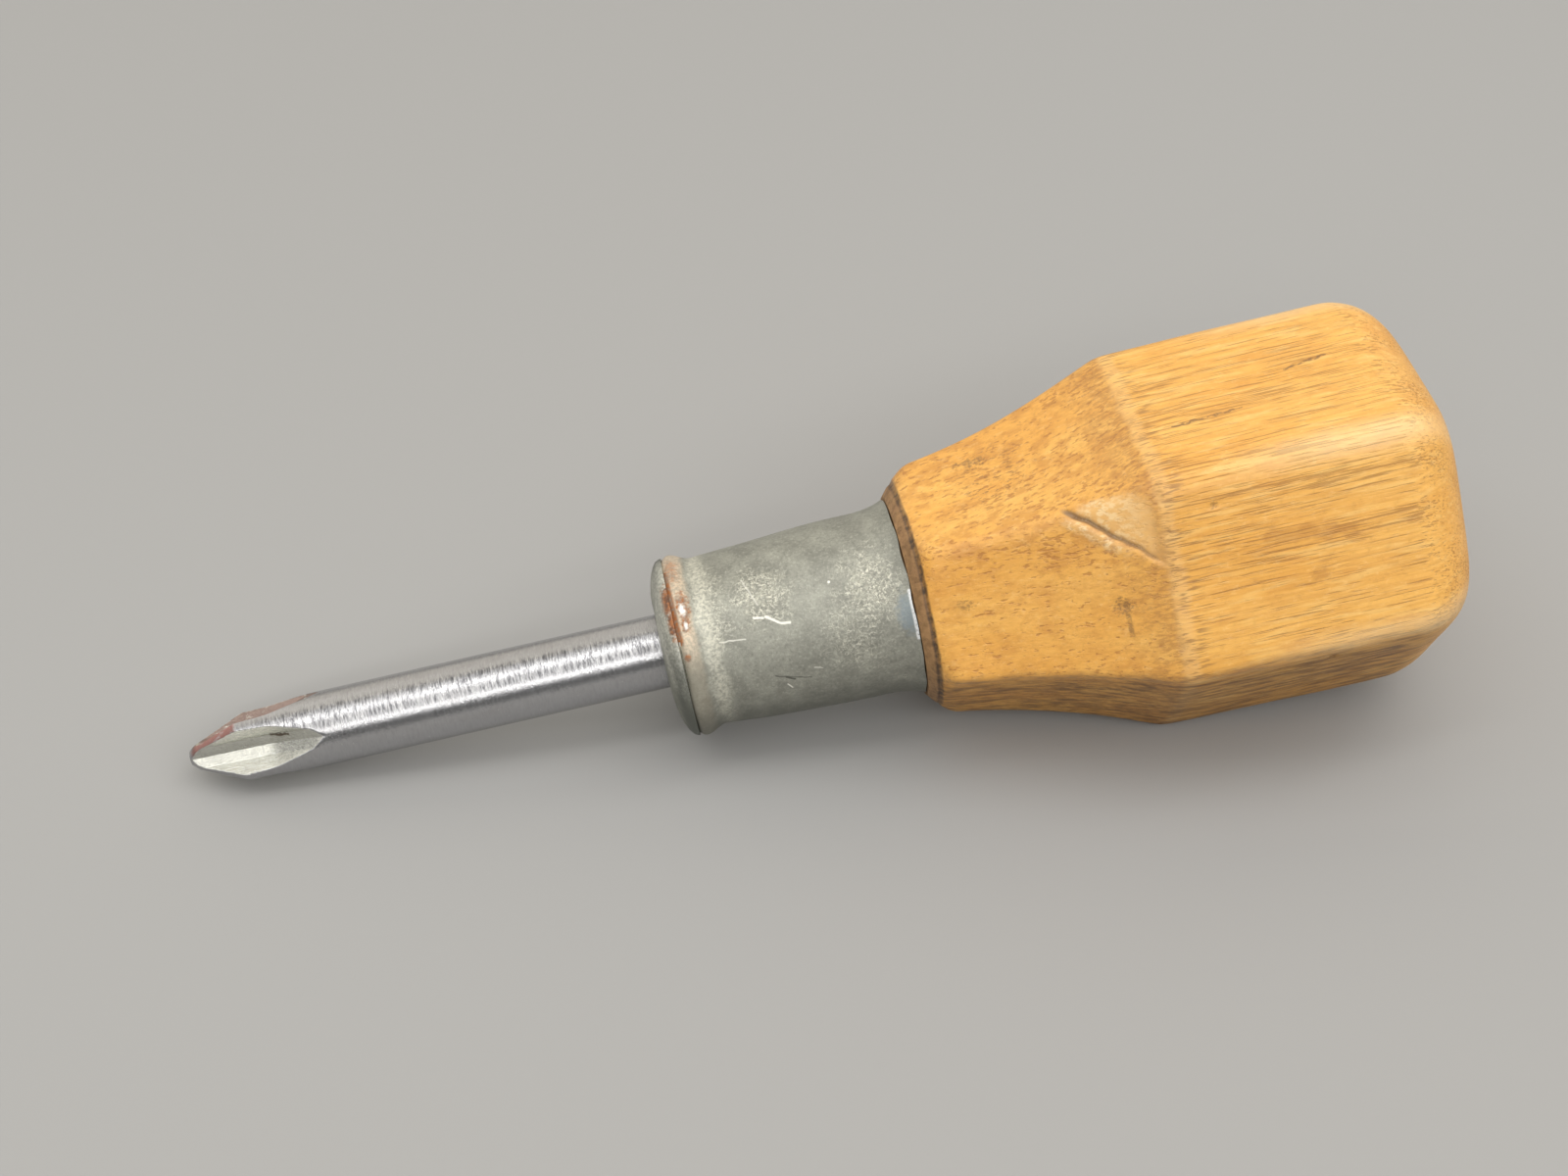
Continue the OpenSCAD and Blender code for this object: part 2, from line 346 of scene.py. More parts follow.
# ================================================================ ferrule and cap
def ferrule_r(s):
    """Outside radius: rolled lip, waist, swelling barrel and flared rear edge."""
    z = s - FERRULE_FRONT
    if z < LIP_AT:
        return LIP_R - 0.35 * (1 - z / LIP_AT) ** 2
    if z < WAIST_AT:
        turn = math.pi * (z - LIP_AT) / (WAIST_AT - LIP_AT)
        return WAIST_R + (LIP_R - WAIST_R) / 2 * (1 + math.cos(turn))
    if z < FLARE_AT:
        turn = math.pi / 2 * (z - WAIST_AT) / (FLARE_AT - WAIST_AT)
        return WAIST_R + (BARREL_R - WAIST_R) * math.sin(turn)
    return BARREL_R + (FLARE_R - BARREL_R) * ((z - FLARE_AT) / (FERRULE_END - FLARE_AT)) ** 2


def make_ferrule():
    angles = np.radians(spaced((0, 360, 0.8)))
    angle = angles[None, :]
    z = np.concatenate([spaced((0, 2.6, 0.12), (2.6, 15.2, 0.3)), np.linspace(15.2, FERRULE_END, 18)])
    s = FERRULE_FRONT + z[:, None]
    outside = np.array([ferrule_r(x) for x in s[:, 0]])[:, None]
    uneven = 0.035 * waves(21, s, angle, 10, 0.8, 7)
    lip = (1 - smooth(0.4, 2.2, z))[:, None]
    uneven = uneven + lip * 0.06 * waves(22, s * 0, angle, 7, 0.0, 12)
    outer_r = outside + uneven - 0.03
    edge = smooth(FERRULE_END - 1.2, FERRULE_END, z)[:, None]
    outer_s = s - edge * (0.10 + 0.08 * waves(23, s * 0, angle, 8, 0.0, 17))
    inner_r = outside[::-1] - WALL + 0 * angle
    rows_s = np.vstack([outer_s, outer_s[::-1]])
    rows_r = np.vstack([outer_r, inner_r])
    return ring_mesh("ferrule_tube", rows_s, rows_r, angles, capped=False)


def make_cap():
    angles = np.radians(spaced((0, 360, 1.0)))
    angle = angles[None, :]
    r, s = (column[:, None] for column in np.array(CAP_FRONT + CAP_BACK).T)
    in_front = (np.arange(len(r)) < len(CAP_FRONT))[:, None]
    s = s + smooth(3.2, 5.0, r) * in_front * 0.04 * waves(31, s * 0, angle, 6, 0.0, 6)
    return ring_mesh("ferrule_washer", s, r * np.ones_like(angle), angles, capped=False)


# ================================================================ blade
def make_blade():
    cols = 720
    angles = np.arange(cols) * 2 * math.pi / cols
    plain_from = FLUTE_RUN + 1.1
    s = np.concatenate([
        spaced((0.0, NOSE_DEPTH, 0.08), (NOSE_DEPTH, plain_from, 0.085), (plain_from, CAP_FACE, 0.5)),
        [CAP_FACE, CAP_FACE, TANG_END - TANG_CHAMFER, TANG_END]])
    bar = np.interp(s, [0, NOSE_DEPTH, FLANK_END, CAP_FACE], [NOSE_FLAT_R, NOSE_R, BLADE_R, BLADE_R])
    bar[-3:] = [TANG_R, TANG_R, TANG_R - TANG_CHAMFER]
    r = bar[:, None] * np.ones((1, cols))
    gentle = CORE_HALF + s * math.tan(math.radians(ROOT_SLOPE))
    steep = BLADE_R + (s - FLUTE_RUN) * math.tan(math.radians(EXIT_SLOPE))
    root = ((gentle + steep) / 2 + np.sqrt(((steep - gentle) / 2) ** 2 + ROOT_BLEND ** 2))[:, None]
    flute = np.zeros_like(r)
    flat, wall = (math.tan(math.radians(half)) for half in (ROOT_ANGLE, WALL_ANGLE))
    shift = ROOT_HALF / flat - ROOT_HALF / wall
    never, tiny = 99.0, 1e-6
    for k in range(4):
        turn = angles - math.radians(45 + 90 * k + POINT_ROLL)
        near, off = np.cos(turn)[None, :], np.abs(np.sin(turn))[None, :]
        vee, side = near - off / flat, near - off / wall
        cut = np.maximum(np.where(vee > tiny, root / np.maximum(vee, tiny), never),
                         np.where(side > tiny, (root + shift) / np.maximum(side, tiny), never))
        flute = np.where(cut < r, k + 1, flute)
        r = (r ** -EDGE_CRISP + cut ** -EDGE_CRISP) ** (-1 / EDGE_CRISP)
    return ring_mesh("blade_steel", s[:, None], r, angles, sharp=22,
                     marks={"ground": (flute > 0) * 1.0, "upper_flute": (flute == 2) * 1.0})


# ================================================================ materials
class Value:
    """A number that a shader works out, which can be added, multiplied and so on."""

    def __init__(self, graph, socket):
        self.graph, self.socket = graph, socket

    def __add__(self, other):
        return self.graph.math("ADD", self, other)

    def __sub__(self, other):
        return self.graph.math("SUBTRACT", self, other)

    def __mul__(self, other):
        return self.graph.math("MULTIPLY", self, other)

    def __truediv__(self, other):
        return self.graph.math("DIVIDE", self, other)

    __radd__, __rmul__ = __add__, __mul__

    def __rsub__(self, other):
        return self.graph.math("SUBTRACT", other, self)


class Graph:
    """The nodes of one material, in the tool's own coordinates."""

    def __init__(self, name):
        self.mat = bpy.data.materials.new(name)
        self.mat.use_nodes = True
        self.tree = self.mat.node_tree
        self.shader = self.tree.nodes["Principled BSDF"]
        self.tool = self.attribute("tool", "Vector")
        parts = self.node("ShaderNodeSeparateXYZ", {"Vector": self.tool})
        self.s, self.a, self.b = (Value(self, parts.outputs[n]) for n in "XYZ")

    def node(self, kind, inputs=None, **settings):
        node = self.tree.nodes.new(kind)
        for name, value in settings.items():
            setattr(node, name, value)
        for name, value in (inputs or {}).items():
            self.feed(node.inputs[name], value)
        return node

    def feed(self, socket, value):
        value = getattr(value, "socket", value)
        if isinstance(value, bpy.types.NodeSocket):
            self.tree.links.new(value, socket)
        elif isinstance(value, tuple) and len(value) == 3 and socket.type == "RGBA":
            socket.default_value = (*value, 1.0)
        else:
            socket.default_value = value

    def math(self, operation, *values, clamp=False):
        node = self.node("ShaderNodeMath", {i: v for i, v in enumerate(values)},
                         operation=operation, use_clamp=clamp)
        return Value(self, node.outputs[0])

    def attribute(self, name, output="Fac"):
        return Value(self, self.node("ShaderNodeAttribute", attribute_name=name).outputs[output])

    def scaled(self, x, y, z, shift=0.0):
        node = self.node("ShaderNodeVectorMath", {0: self.tool, 1: (x, y, z), 2: (shift,) * 3},
                         operation="MULTIPLY_ADD")
        return Value(self, node.outputs[0])

    def noise(self, x, y, z, detail=2.0, rough=0.5, distortion=0.0, shift=0.0):
        """Noise with x, y and z cells in each mm along the tool and across it."""
        node = self.node("ShaderNodeTexNoise", {
            "Vector": self.scaled(x, y, z, shift), "Scale": 1.0, "Detail": detail,
            "Roughness": rough, "Distortion": distortion})
        return Value(self, node.outputs["Fac"])

    def cells(self, x, y, z, shift=0.0):
        """Distance to the nearest of many scattered points, with cells as in noise."""
        node = self.node("ShaderNodeTexVoronoi", {"Vector": self.scaled(x, y, z, shift), "Scale": 1.0})
        return Value(self, node.outputs["Distance"])

    def ramp(self, value, low, high):
        """0 at low and 1 at high, with a soft start and end; low may be the larger."""
        node = self.node("ShaderNodeMapRange", {"Value": value, "From Min": low, "From Max": high},
                         interpolation_type="SMOOTHSTEP")
        return Value(self, node.outputs["Result"])

    def mix(self, amount, first, second):
        node = self.node("ShaderNodeMix", data_type="RGBA")
        self.feed(node.inputs["Factor"], amount)
        self.feed(node.inputs[6], first)
        self.feed(node.inputs[7], second)
        return Value(self, node.outputs[2])

    def across(self, degrees):
        """(distance sideways, distance outwards) from the axis, seen from an angle about it."""
        c, d = math.cos(math.radians(degrees)), math.sin(math.radians(degrees))
        return self.b * c - self.a * d, self.a * c + self.b * d

    def spot(self, s, degrees, long, wide, rough=0.0, grain=2.0):
        """1 in the middle of a spot, 0 outside it, with a rough rim if wanted."""
        side, out = self.across(degrees)
        u, v = (self.s - s) / long, side / wide
        far = self.math("SQRT", u * u + v * v)
        if rough:
            far = far + (self.noise(grain, grain * 1.5, grain * 1.5, 3.0, 0.6) - 0.5) * rough
        return self.ramp(far, 1.0, 0.3) * self.ramp(out, 0.0, 1.0)

    def stroke(self, start, end, r, wide, wobble=0.0, pitch=1.5):
        """1 along a line between two places (s, degrees) on a surface of radius r."""
        mid = (start[1] + end[1]) / 2
        side, out = self.across(mid)
        if wobble:
            side = side + (self.noise(pitch, pitch, pitch, 1.0, 0.4) - 0.5) * wobble
        w0, w1 = (r * math.sin(math.radians(p[1] - mid)) for p in (start, end))
        ds, dw = end[0] - start[0], w1 - w0
        u, v = self.s - start[0], side - w0
        t = self.math("MULTIPLY", u * ds + v * dw, 1 / (ds * ds + dw * dw), clamp=True)
        u, v = u - t * ds, v - t * dw
        far = self.math("SQRT", u * u + v * v)
        return self.ramp(far, wide, wide * 0.35) * self.ramp(out, 0.0, 1.0)

    def strongest(self, *values):
        total = values[0]
        for value in values[1:]:
            total = self.math("MAXIMUM", total, value)
        return total

    def bump(self, height, distance, strength=1.0):
        """Fine relief: height is 0 to 1 and distance is its depth in mm."""
        node = self.node("ShaderNodeBump", {"Height": height, "Distance": distance * MM,
                                            "Strength": strength})
        self.feed(self.shader.inputs["Normal"], Value(self, node.outputs["Normal"]))

    def finish(self, color, rough, metallic=None):
        self.feed(self.shader.inputs["Base Color"], color)
        self.feed(self.shader.inputs["Roughness"], rough)
        if metallic is not None:
            self.feed(self.shader.inputs["Metallic"], metallic)
        return self.mat


def beech():
    """Lacquered beech: the graph, its colour, and the masks that the rest of the grip uses."""
    g = Graph("beech")
    on_neck = g.ramp(g.s, SHOULDER + 0.25, SHOULDER - 0.25)
    top = g.ramp(g.across(TOP_FACET)[1], 6.0, 8.8)
    broad = g.noise(0.035, 0.22, 0.22, 3.0, 0.55, 0.3)
    cloudy = g.noise(0.35, 0.5, 0.5, 3.0, 0.6, shift=7.0)
    fibre = g.noise(0.14, 4.2, 4.2, 4.0, 0.65)
    color = g.mix(g.ramp(broad, 0.32, 0.68), HONEY, STRAW)
    color = g.mix(g.ramp(cloudy, 0.48, 0.78) * 0.42, color, (0.66, 0.285, 0.052))
    color = g.mix(g.ramp(fibre, 0.38, 0.62) * (0.36 - on_neck * 0.14), color, FIBRE_BROWN)
    pale = g.ramp(g.noise(0.22, 1.6, 1.6, 2.0, 0.5, shift=13.0), 0.52, 0.70)
    color = g.mix(pale * (1 - on_neck) * 0.45, color, (0.93, 0.60, 0.20))
    blotch = g.ramp(g.noise(0.55, 0.9, 0.9, 4.0, 0.62, shift=15.0), 0.44, 0.62)
    color = g.mix(on_neck * blotch * (0.34 + top * 0.24), color, (0.56, 0.245, 0.050))
    mottle = g.noise(1.3, 2.0, 2.0, 4.0, 0.70, shift=16.0)
    color = g.mix(g.ramp(mottle, 0.54, 0.70) * 0.22, color, (1.0, 0.68, 0.28))
    color = g.mix(g.ramp(mottle, 0.47, 0.30) * (0.22 + on_neck * 0.14), color, (0.46, 0.20, 0.042))

    # Open pores: long dark lines on the body, short flecks where the neck cuts across them
    gather = g.noise(0.05, 0.36, 0.36, 2.0, 0.5, shift=3.0)
    pore = g.noise(0.22, 7.4, 7.4, 2.0, 0.6, shift=11.0)
    line = g.ramp(pore + gather * 0.42 + top * 0.015, 0.765, 0.885) * (1 - on_neck)
    color = g.mix(line * 0.50, color, PORE_BROWN)
    fleck = g.noise(1.15, 3.6, 3.6, 2.0, 0.60, shift=5.0)
    speck = g.ramp(fleck + gather * 0.30 + top * 0.035, 0.72, 0.86) * on_neck
    color = g.mix(speck * 0.64, color, (0.40, 0.160, 0.036))
    return g, color, on_neck, cloudy, fibre, line, speck


def grip_material():
    """The beech of the grip with its scuffs, stains, dent and grime, and painted shade and highlights.
    """
    g, color, on_neck, cloudy, fibre, line, speck = beech()
    # Darker underside: painted shade together with grime
    underside_shade_and_grime = g.ramp(g.b + (cloudy - 0.5) * 1.5, 0.2, -2.2) * (1 - g.ramp(g.s, 95.0, 99.5) * 0.75)
    crease, cut, patch, lip, nick = (g.attribute(n) for n in ("crease", "cut", "patch", "lip", "nick"))
    # The scuffed part of the top of the neck
    scuffed = g.spot(66.6, 92, 4.2, 4.6, 0.9, 0.8)
    coarse = g.ramp(g.noise(1.4, 3.4, 3.4, 3.0, 0.65, shift=17.0), 0.54, 0.66)
    color = g.mix(scuffed * coarse * 0.62, color, (0.26, 0.12, 0.036))
    # Neck darkens towards the shoulder; the worn edge behind it is paler, with dark ends of pores
    dull = on_neck * g.ramp(g.s + (cloudy - 0.5) * 2.0, SHOULDER - 5.0, SHOULDER - 0.5)
    color = g.mix(dull * (0.14 + g.ramp(fibre, 0.42, 0.62) * 0.40), color, (0.40, 0.19, 0.055))
    edge = g.ramp(g.math("ABSOLUTE", g.s - (SHOULDER + 0.45) + (cloudy - 0.5) * 1.0), 0.9, 0.25)
    color = g.mix(edge * 0.34, color, (0.86, 0.54, 0.22))
    ticks = g.ramp(g.noise(0.6, 5.6, 5.6, 1.0, 0.5, shift=23.0), 0.53, 0.64)
    ticks = ticks * g.ramp(g.math("ABSOLUTE", g.s - SHOULDER - 1.0), 1.7, 0.4)
    color = g.mix(g.strongest(ticks * 0.58, nick * 0.42), color, (0.27, 0.135, 0.05))
    # Dent, its crushed patch and the pale lip beside it
    chalky = g.ramp(g.noise(1.5, 2.5, 2.5, 3.0, 0.6, shift=27.0), 0.42, 0.60)
    # The pale patch and the pale streaks on it and on the lip are partly crushed wood and partly a
    # painted highlight
    color = g.mix(patch * 0.72, color, (0.90, 0.54, 0.20))
    crushed_and_highlight = patch * chalky * g.ramp(g.s, 77.4, 73.4) * 0.62
    color = g.mix(g.strongest(crushed_and_highlight, lip * (0.25 + chalky * 0.6)), color, (1.0, 0.76, 0.42))
    color = g.mix(g.ramp(cut, 0.08, 0.70) * 0.82, color, (0.20, 0.125, 0.068))
    # Stains, pits and scratches
    marks = g.strongest(
        g.spot(73.7, 24, 0.95, 0.85, 2.2, 3.5),
        g.stroke((73.9, 22), (73.95, 13), 12.5, 0.26, 0.9, 2.5) * 0.8,
        g.spot(89.0, -6.3, 0.5, 0.35, 0.5), g.spot(81.4, 50.4, 0.5, 0.35, 1.2, 4.0),
        g.stroke((64.3, 107), (66.4, 104), 11.0, 0.40, 1.6, 2.5) * 0.8,
        g.stroke((80.4, 79), (85.9, 81), 14.0, 0.16, 0.5),
        g.stroke((90.4, 94), (93.8, 96), 14.0, 0.16, 0.5),
        g.spot(62.2, 34.0, 0.9, 0.6, 2.4, 4.0) * 0.7)
    broken = g.ramp(g.noise(3.0, 4.5, 4.5, 2.0, 0.6, shift=29.0), 0.36, 0.56)
    color = g.mix(marks * (0.25 + broken * 0.50), color, (0.18, 0.095, 0.040))
    stains = g.strongest(g.stroke((85.1, 37.5), (91.3, 34.5), 14.0, 0.8, 1.8, 0.8),
                         g.spot(88.6, 22.4, 1.1, 0.7, 1.6, 3.0))
    color = g.mix(stains * 0.38, color, (0.40, 0.16, 0.035))
    # Darker underside, partly grime and partly painted shade (a guess, fitted to the lowest
    # facet seen); grime along the lower ridge and in the ring behind the ferrule
    dirty = g.ramp(g.noise(0.30, 1.5, 1.5, 4.0, 0.65, shift=31.0), 0.38, 0.66)
    color = g.mix(underside_shade_and_grime * (0.34 + dirty * 0.54), color, SHADE_AND_GRIME)
    low = g.ramp(g.math("ABSOLUTE", g.b + 0.35), 0.9, 0.1) * g.ramp(g.a, 5.0, 8.0)
    color = g.mix(low * dirty * 0.55, color, GRIME_PALE)
    band = g.ramp(crease, 0.10, -0.10)
    color = g.mix(band * 0.85, color, g.mix(dirty, (0.31, 0.18, 0.090), (0.17, 0.10, 0.052)))
    # The dark line in the crease behind the ferrule: grime with painted shade
    crease_grime_and_shade = g.ramp(g.math("ABSOLUTE", crease + (cloudy - 0.5) * 0.25), 0.30, 0.10)
    color = g.mix(crease_grime_and_shade * (0.55 + dirty * 0.4), color, (0.05, 0.03, 0.018))
    # The six edges are paler towards the rear: partly rubbed wear and partly a painted sheen
    rubbed_and_sheen = g.strongest(*(g.ramp(g.math("ABSOLUTE", side), 2.0, 0.2) * g.ramp(out, 9.5, 13.5)
                           for side, out in (g.across(60 * k) for k in range(6))))
    rubbed_and_sheen = rubbed_and_sheen * g.ramp(g.s, 81.0, 92.0) * (1 - underside_shade_and_grime)
    color = g.mix(rubbed_and_sheen * (0.16 + cloudy * 0.26), color, (1.0, 0.82, 0.50))
    rear = g.ramp(g.s, 96.5, 101.0)
    color = g.mix(rear * 0.25, color, (0.68, 0.30, 0.065))

    rough = 0.29 + fibre * 0.14 + g.strongest(underside_shade_and_grime * 0.15, band * 0.3, edge * 0.08, line * 0.2)
    relief = (fibre * 0.7 - line * 0.7 - speck * 0.5 - scuffed * coarse * 0.9
              + g.noise(2.2, 3.4, 3.4, 2.0, 0.5, shift=41.0) * 0.4)
    g.bump(relief, 0.06, 0.7)
    g.feed(g.shader.inputs["Specular IOR Level"], 0.5)
    return g.finish(color, rough)


def zinc(name, base, seed):
    """Dull zinc coating: the graph, its colour, and its broad and fine mottling."""
    g = Graph(name)
    mottle = g.noise(0.40, 0.40, 0.40, 6.0, 0.68, 0.3, seed)
    grain = g.noise(4.2, 4.2, 4.2, 4.0, 0.7, shift=seed + 5)
    dark, light = (tuple(v * k for v in base) for k in (0.84, 1.17))
    color = g.mix(g.ramp(mottle, 0.35, 0.66), dark, light)
    color = g.mix(g.ramp(grain, 0.52, 0.70) * 0.42, color, tuple(min(v * 1.8, 0.8) for v in base))
    color = g.mix(g.ramp(grain, 0.45, 0.30) * 0.40, color, tuple(v * 0.42 for v in base))
    return g, color, mottle, grain


def rust_look(g):
    """(flaky pattern, colour) of rust."""
    flake = g.ramp(g.noise(2.6, 2.6, 2.6, 4.0, 0.7, 0.5, 91.0), 0.40, 0.60)
    return flake, g.mix(flake, RUST_DARK, RUST_LIGHT)


def ferrule_material():
    """The ferrule's zinc, with scratches, rust and bare steel on the lip and painted shade underneath.
    """
    g, color, mottle, grain = zinc("zinc_tube", ZINC_TUBE, 51.0)
    # Rubbed patches with fine pale scratches that wander about
    curl = g.noise(1.1, 1.1, 1.1, 2.0, 0.55, 1.6, 61.0)
    wander = g.noise(1.9, 1.9, 1.9, 1.0, 0.5, 1.2, 67.0)
    squiggle = g.strongest(g.ramp(g.math("ABSOLUTE", curl - 0.5), 0.028, 0.006),
                           g.ramp(g.math("ABSOLUTE", wander - 0.47), 0.024, 0.005) * 0.8)
    squiggle = squiggle * g.ramp(grain, 0.38, 0.52)
    patches = g.strongest(
        g.spot(47.2, 66, 3.0, 3.0, 1.5, 0.9), g.spot(46.4, 72, 1.3, 2.6, 1.2, 1.5),
        g.spot(55.6, 55, 2.9, 4.4, 1.6, 0.9), g.spot(53.6, 30, 3.0, 4.0, 1.6, 0.9) * 0.6,
        g.spot(43.2, 66, 1.8, 4.5, 1.4, 1.0) * 0.7, g.ramp(mottle, 0.58, 0.74) * 0.5)
    color = g.mix(patches * g.ramp(grain, 0.40, 0.60) * 0.30, color, (0.62, 0.60, 0.48))
    color = g.mix(squiggle * (0.10 + patches * 0.75), color, (0.82, 0.80, 0.68))
    scratches = g.strongest(
        g.stroke((46.2, 52.2), (46.9, 50.9), 7.15, 0.13, 0.2, 3.0),
        g.stroke((47.1, 51.4), (48.2, 45.2), 7.2, 0.14, 0.25, 3.0),
        g.stroke((48.2, 45.2), (48.85, 44.6), 7.25, 0.14, 0.1, 3.0),
        g.stroke((43.2, 42.2), (45.2, 40.2), 7.0, 0.08, 0.3) * 0.7,
        g.stroke((47.7, 4.2), (48.0, 0.5), 7.2, 0.08, 0.2), g.spot(52.5, 63.4, 0.16, 0.16),
        g.stroke((45.9, 79.0), (46.7, 60.0), 7.1, 0.10, 0.5, 2.0) * 0.45,
        g.stroke((50.0, 13.1), (50.6, 11.2), 7.3, 0.08, 0.4, 3.0) * 0.7)
    color = g.mix(scratches * 0.85, color, (0.95, 0.93, 0.84))
    dark = g.strongest(
        g.stroke((46.9, 12.0), (49.6, 6.0), 7.2, 0.09, 0.3) * 0.7,
        g.stroke((47.7, 9.8), (48.3, 7.2), 7.2, 0.13, 0.2), g.spot(42.9, 52, 0.16, 0.16))
    color = g.mix(dark * 0.75, color, (0.05, 0.05, 0.04))
    # Pale line in the hollow behind the lip, brown on the lip itself
    hollow = g.ramp(g.math("ABSOLUTE", g.s - 42.60 + (mottle - 0.5) * 2.4), 1.0, 0.1)
    color = g.mix(hollow * (0.22 + g.ramp(grain, 0.40, 0.58) * 0.42), color, (0.76, 0.74, 0.62))
    lip = g.ramp(g.s + (mottle - 0.5) * 0.9, 41.85, 41.3)
    color = g.mix(lip * 0.45, color, (0.36, 0.315, 0.235))
    # The top of the lip is lighter: partly polished metal and partly a painted highlight
    polish_and_highlight = lip * g.ramp(g.b, 2.5, 6.5) * (0.35 + g.ramp(grain, 0.4, 0.6) * 0.4)
    color = g.mix(polish_and_highlight, color, (0.86, 0.70, 0.52))
    flake, rusty = rust_look(g)
    rust = g.strongest(
        g.stroke((40.10, 98), (40.22, 48), 7.3, 0.40, 0.6, 2.0),
        g.spot(41.0, 68, 0.70, 2.0, 1.6, 2.4), g.spot(40.9, 56.5, 0.5, 0.8, 1.6, 3.0),
        g.spot(40.55, 37, 0.35, 0.5, 1.2, 3.0) * 0.9, g.spot(40.7, 100, 0.8, 2.4, 1.6, 2.0) * 0.6)
    color = g.mix(rust * (0.62 + flake * 0.36), color, rusty)
    bare = g.strongest(
        g.spot(40.92, 67, 0.36, 0.75, 1.1, 3.5), g.spot(40.95, 56.5, 0.22, 0.45, 1.0, 4.0),
        g.stroke((40.17, 47), (40.10, 12), 7.15, 0.09, 0.15))
    color = g.mix(bare, color, (0.84, 0.82, 0.76))
    # The rear edge, rubbed bright and smeared blue-grey on one side
    smear = g.spot(57.9, 34, 1.0, 2.2, 1.1, 1.6)
    color = g.mix(smear * 0.6, color, (0.26, 0.33, 0.38))
    rim = g.stroke((58.36, 19), (58.36, 47), 7.95, 0.20, 0.15, 3.0)
    color = g.mix(rim * (0.30 + g.ramp(grain, 0.36, 0.52) * 0.65), color, (0.88, 0.90, 0.90))
    # Darker underside: painted shade
    low = g.ramp(g.b + (mottle - 0.5) * 2.5, 1.5, -4.0)
    color = g.mix(low * 0.62, color, (0.105, 0.108, 0.092))
    rough = 0.47 + grain * 0.15 - bare * 0.33 + rust * 0.2
    relief = grain * 0.7 + mottle * 0.3 + squiggle * patches * 0.3 - dark * 0.5 + rust * flake * 0.6
    g.bump(relief, 0.035, 0.7)
    return g.finish(color, rough, 0.50 - rust * 0.45 + bare * 0.5)


def cap_material():
    """The cap's zinc, with a painted highlight atop its rim and painted shade elsewhere, fitted to the
    photo.
    """
    g, color, mottle, grain = zinc("zinc_washer", ZINC_CAP, 71.0)
    _, rusty = rust_look(g)
    rust = g.strongest(g.spot(39.9, 76, 0.9, 2.0, 1.6, 2.2), g.spot(39.95, 60, 0.5, 1.8, 1.4, 2.2))
    rust = rust * g.ramp(g.s, 39.2, 39.8)
    # Lighter at the top of the rim: a painted highlight
    pale = g.ramp(g.across(66)[1] + (mottle - 0.5) * 3.0, 3.0, 5.6)
    color = g.mix(pale * (0.30 + g.ramp(grain, 0.42, 0.60) * 0.45), color, (0.74, 0.73, 0.64))
    # Darker elsewhere on the rim: painted shade
    shade = g.ramp(g.across(75)[1] + (mottle - 0.5) * 2.0, 6.7, 4.8)
    color = g.mix(shade * g.ramp(g.s, 38.9, 39.4) * 0.66, color, (0.085, 0.09, 0.078))
    color = g.mix(rust * 0.9, color, rusty)
    far = g.math("SQRT", g.a * g.a + g.b * g.b)
    color = g.mix(g.ramp(far, 3.9, 2.9) * 0.5, color, (0.09, 0.085, 0.07))
    # Darker towards the bottom: painted shade
    color = g.mix(g.ramp(g.b + (mottle - 0.5) * 3.0, 1.0, -5.0) * 0.55, color, (0.10, 0.11, 0.09))
    g.bump(grain * 0.6 + mottle * 0.4, 0.035, 0.7)
    return g.finish(color, 0.45 + grain * 0.15, 0.5)


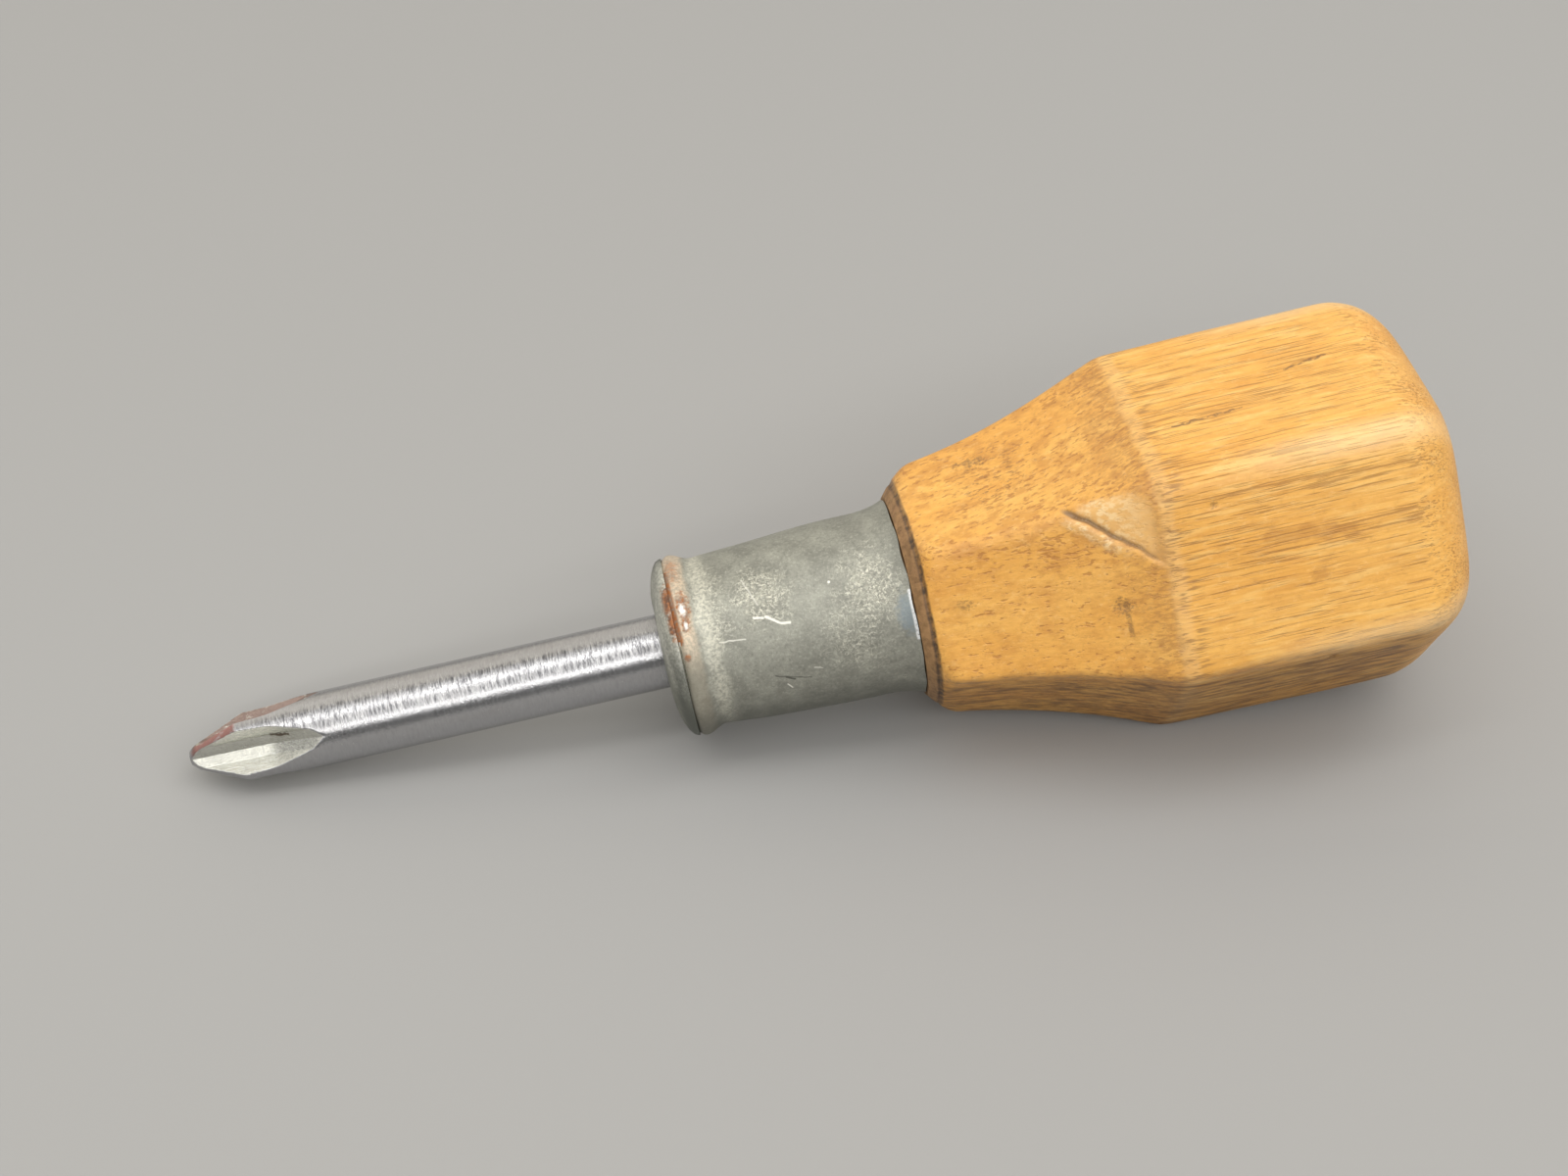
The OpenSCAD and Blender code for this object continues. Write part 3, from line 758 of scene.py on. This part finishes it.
def chrome():
    """Chromed steel, ground round before plating, with flutes ground lengthways."""
    g = Graph("chrome")
    ground, upper = g.attribute("ground"), g.attribute("upper_flute")
    plain = 1 - ground
    rings = g.noise(5.0, 1.0, 1.0, 4.0, 0.82, shift=81.0)
    lines = g.noise(0.5, 9.0, 9.0, 3.0, 0.65, shift=83.0)
    haze = g.noise(0.5, 0.8, 0.8, 3.0, 0.6, shift=85.0)
    color = g.mix(ground, CHROME, GROUND_STEEL)
    color = g.mix(g.ramp(haze, 0.45, 0.7) * 0.15, color, (0.36, 0.34, 0.33))
    # Rings are strongest along a strip where the photo has a speckled bright band. The strip
    # is partly scouring of the surface and partly a painted reflection. One photo can't tell
    # how much of that band is the surface and how much is a reflection.
    scour_and_painted_glint = g.ramp(g.math("ABSOLUTE", g.across(64)[0]), 1.10, 0.72)
    scour_and_painted_glint = scour_and_painted_glint * plain * g.ramp(g.s, 4.5, 8.5)
    color = g.mix(g.ramp(rings, 0.51, 0.38) * (scour_and_painted_glint * 0.64 + 0.10), color, (0.10, 0.10, 0.11))
    color = g.mix(g.ramp(rings, 0.52, 0.64) * (scour_and_painted_glint * 0.50 + 0.08), color, (0.80, 0.80, 0.80))
    color = g.mix(g.ramp(lines, 0.52, 0.36) * ground * 0.30, color, (0.45, 0.44, 0.38))
    # The upper wall of the near flute has a painted highlight, a tone fitted to the photo
    aside, ahead = g.across(45 + POINT_ROLL)
    painted_flute_highlight = g.ramp(aside, ROOT_HALF - 0.10, ROOT_HALF + 0.30) * g.ramp(ahead, 0.0, 0.5) * ground
    color = g.mix(painted_flute_highlight * 0.9, color, (0.97, 0.97, 0.90))
    # A copper-pink tint on the upper wing and its far flute
    side, out = g.across(90 + POINT_ROLL)
    flank = g.ramp(out, 0.6, 1.0) * g.ramp(g.math("ABSOLUTE", side), 0.7, 0.45)
    flank = flank * g.ramp(g.s, FLANK_END + 0.17, FLANK_END - 0.23)
    pink_patches = g.ramp(g.noise(1.2, 2.0, 2.0, 3.0, 0.6, shift=89.0), 0.30, 0.46)
    color = g.mix(upper * pink_patches * 0.80, color, COPPER_DARK)
    color = g.mix(flank * plain * pink_patches * 0.90, color, COPPER)
    brown = g.stroke((6.9, 57.6), (8.3, 50.5), 2.7, 0.15, 0.5, 2.0)
    color = g.mix(brown * 0.85, color, (0.12, 0.08, 0.05))
    specks = g.ramp(g.cells(1.5, 1.5, 1.5, 87.0), 0.075, 0.03)
    color = g.mix(specks * 0.6, color, (0.30, 0.27, 0.24))
    g.bump(g.mix(ground, rings, lines), 0.05, 1.0)
    return g.finish(color, 0.13 + haze * 0.08 + ground * 0.09 + specks * 0.2, 1.0)


# ================================================================ the object
for make, paint, node, slot in (
        (make_grip, grip_material, "handle", "lacquered_wood"),
        (make_ferrule, ferrule_material, "ferrule", "galvanised_steel"),
        (make_cap, cap_material, "ferrule_cap", "galvanised_steel"),
        (make_blade, chrome, "blade", "chromed_steel")):
    piece = make()
    piece.data.materials.append(paint())
    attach(piece, "root")
    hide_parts(node)


# ================================================================ floor, light and camera
def make_floor():
    """A pale matt floor, 4 m square."""
    mesh = bpy.data.meshes.new("floor")
    half = 2.0
    mesh.from_pydata([(-half, -half, 0), (half, -half, 0), (half, half, 0), (-half, half, 0)],
                     [], [(0, 1, 2, 3)])
    floor = bpy.data.objects.new("floor", mesh)
    bpy.context.scene.collection.objects.link(floor)
    mat = bpy.data.materials.new("floor_card")
    mat.use_nodes = True
    shader = mat.node_tree.nodes["Principled BSDF"]
    shader.inputs["Base Color"].default_value = FLOOR_GREY
    shader.inputs["Roughness"].default_value = 0.9
    mesh.materials.append(mat)


def softbox(name, azimuth, elevation, distance, size, power, color):
    """A panel light that faces the tool from an azimuth (0 is -Y, 90 is +X) and elevation."""
    light = bpy.data.lights.new(name, "AREA")
    light.shape = "RECTANGLE"
    light.size, light.size_y = size
    light.energy = power
    light.color = color
    obj = bpy.data.objects.new(name, light)
    bpy.context.scene.collection.objects.link(obj)
    az, el = math.radians(azimuth), math.radians(elevation)
    back = Vector((math.sin(az) * math.cos(el), -math.cos(az) * math.cos(el), math.sin(el)))
    obj.location = back * distance
    obj.rotation_euler = (-back).to_track_quat("-Z", "Y").to_euler()


def make_lights():
    """Wide dim panels all round, as a pale room would be, and two narrow bright strips."""
    softbox("front_panel", 12, 52, 0.62, (1.9, 0.56), 3.80, WHITE)
    softbox("roof_panel", 12, 90, 0.60, (1.9, 0.34), 2.20, WHITE)
    softbox("back_panel", 180, 38, 0.66, (1.9, 0.78), 3.10, WARM)
    softbox("left_panel", 240, 20, 0.60, (0.5, 0.40), 0.42, WHITE)
    softbox("high_strip", 14, 84, 0.56, (0.9, 0.08), 0.80, WHITE)
    softbox("low_strip", 14, 40, 0.58, (0.9, 0.06), 0.75, WHITE)
    world = bpy.data.worlds.new("studio")
    world.use_nodes = True
    background = world.node_tree.nodes["Background"]
    background.inputs["Color"].default_value = ROOM_GREY
    background.inputs["Strength"].default_value = 0.25
    bpy.context.scene.world = world


def make_camera():
    """The photo's camera, solved from the outline of the tool."""
    data = bpy.data.cameras.new("camera")
    data.sensor_width = 36.0
    data.lens = CAMERA_LENS
    data.clip_start = 0.005
    camera = bpy.data.objects.new("camera", data)
    bpy.context.scene.collection.objects.link(camera)
    bpy.context.scene.camera = camera
    at = Vector(CAMERA_AT) * MM
    az, el, roll = (math.radians(v) for v in CAMERA_TURN)
    forward = Vector((math.sin(az) * math.cos(el), math.cos(az) * math.cos(el), -math.sin(el)))
    level = Vector((math.cos(az), -math.sin(az), 0.0))
    above = level.cross(forward)
    right = level * math.cos(roll) + above * math.sin(roll)
    up = above * math.cos(roll) - level * math.sin(roll)
    camera.matrix_world = Matrix(
        [(right[i], up[i], -forward[i], at[i]) for i in range(3)] + [(0, 0, 0, 1)])


make_floor()
make_lights()
make_camera()
bpy.context.scene.view_settings.view_transform = "Standard"
